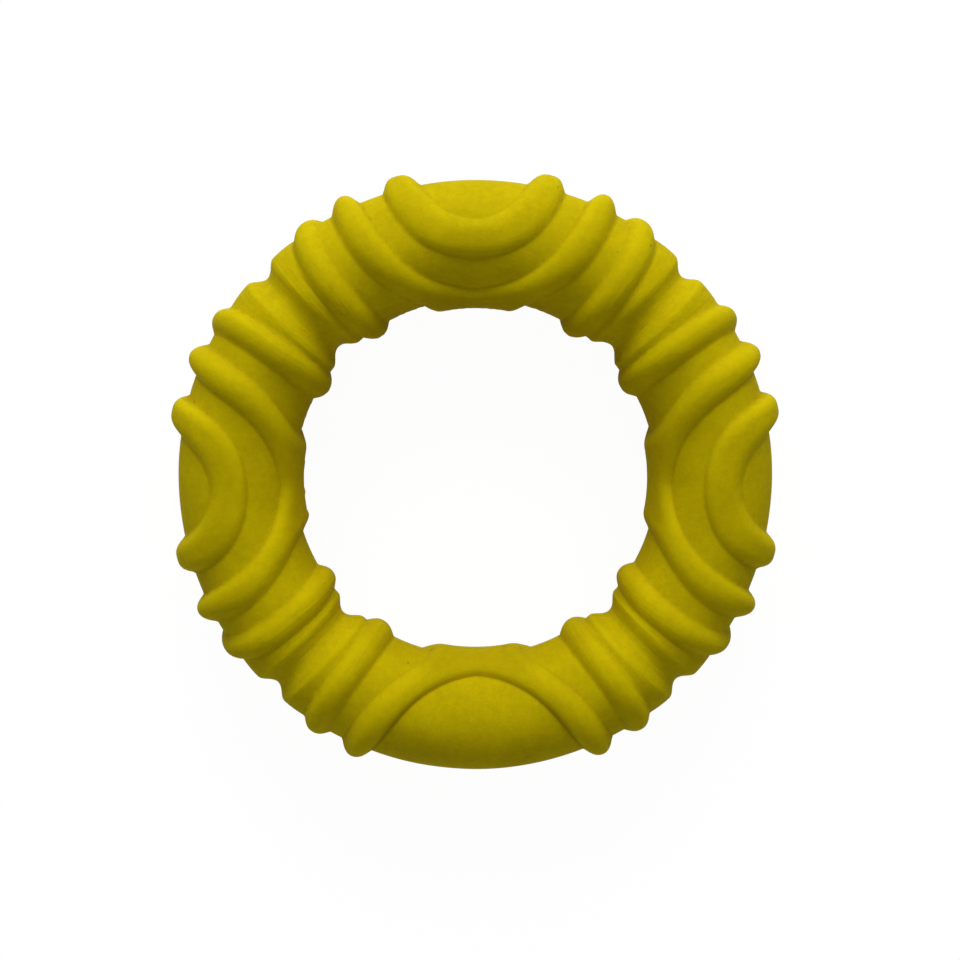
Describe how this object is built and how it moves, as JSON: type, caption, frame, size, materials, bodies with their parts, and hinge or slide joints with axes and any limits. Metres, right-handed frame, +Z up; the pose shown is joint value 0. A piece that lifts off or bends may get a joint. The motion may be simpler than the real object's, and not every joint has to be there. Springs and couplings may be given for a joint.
{
  "type": "rubber chew ring",
  "caption": "Hollow moulded rubber chew ring for a pet, with a round tube, rippled ridges that repeat round the ring and a plain pad, built as bonded half shells.",
  "frame": {"origin": "on the ring's axis, in the plane that the ring lies on", "axes": "+Z up along the ring's axis, -Y from the axis through the plain pad, +X to the right with the pad nearest"},
  "size_m": [0.1462, 0.145, 0.0316],
  "materials": {
    "yellow_rubber": "matte moulded natural rubber, mustard yellow",
    "seam_cement": "cured rubber cement, coloured through"
  },
  "bodies": {
    "root": {"front_shell": "yellow_rubber", "back_shell": "yellow_rubber", "outer_seam_bond": "seam_cement", "inner_seam_bond": "seam_cement"}
  },
  "joints": []
}
